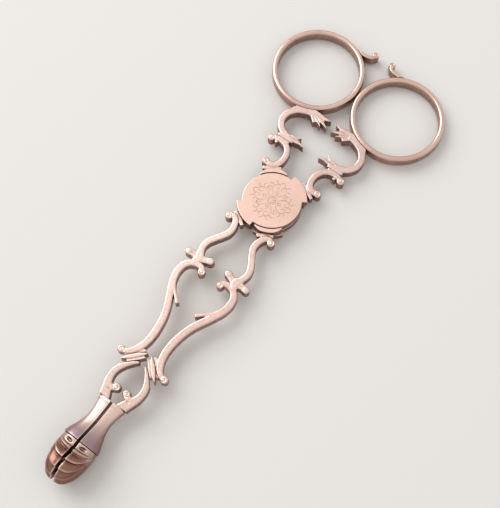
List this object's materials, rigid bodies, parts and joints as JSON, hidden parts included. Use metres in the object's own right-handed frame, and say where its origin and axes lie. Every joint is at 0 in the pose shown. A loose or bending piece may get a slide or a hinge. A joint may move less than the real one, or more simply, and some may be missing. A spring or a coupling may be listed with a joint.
{
  "type": "sugar nips",
  "caption": "Silver sugar nips: two scrolled arms with finger rings and fluted shell grips, crossing in a flat round box joint that opens like scissors.",
  "frame": {"origin": "on the pivot's axis, at the flat back of the box joint", "axes": "+Y along the nips towards the finger rings; +Z out of the front of the joint; +X towards the front arm's ring"},
  "size_m": [0.0428, 0.1181, 0.0083],
  "materials": {
    "silver": "old polished silver with a warm tint and soft wear",
    "shell_silver": "old polished silver, darker in the flutes",
    "rivet_silver": "silver, filed flush"
  },
  "bodies": {
    "front_arm": {"front_arm_joint_plate": "silver", "front_arm_neck_scroll": "silver", "front_arm_ring_scroll": "silver", "front_arm_finger_ring": "silver", "front_arm_ring_finial": "silver", "front_arm_knee_scroll": "silver", "front_arm_knot_leaf": "silver", "front_arm_long_scroll": "silver", "front_arm_waist_moulding": "silver", "front_arm_loop_scroll": "silver", "front_arm_grip_stem": "silver", "front_arm_shell": "shell_silver", "pivot_rivet": "rivet_silver"},
    "back_arm": {"back_arm_joint_plate": "silver", "back_arm_neck_scroll": "silver", "back_arm_ring_scroll": "silver", "back_arm_finger_ring": "silver", "back_arm_ring_finial": "silver", "back_arm_knee_scroll": "silver", "back_arm_knot_leaf": "silver", "back_arm_long_scroll": "silver", "back_arm_waist_moulding": "silver", "back_arm_loop_scroll": "silver", "back_arm_grip_stem": "silver", "back_arm_shell": "shell_silver"}
  },
  "joints": [
    {"name": "box_joint", "type": "hinge", "parent": "front_arm", "child": "back_arm", "pos_m": [0, 0, 0.00185], "axis": [0, 0, 1], "range_deg": [0, 66]}
  ]
}
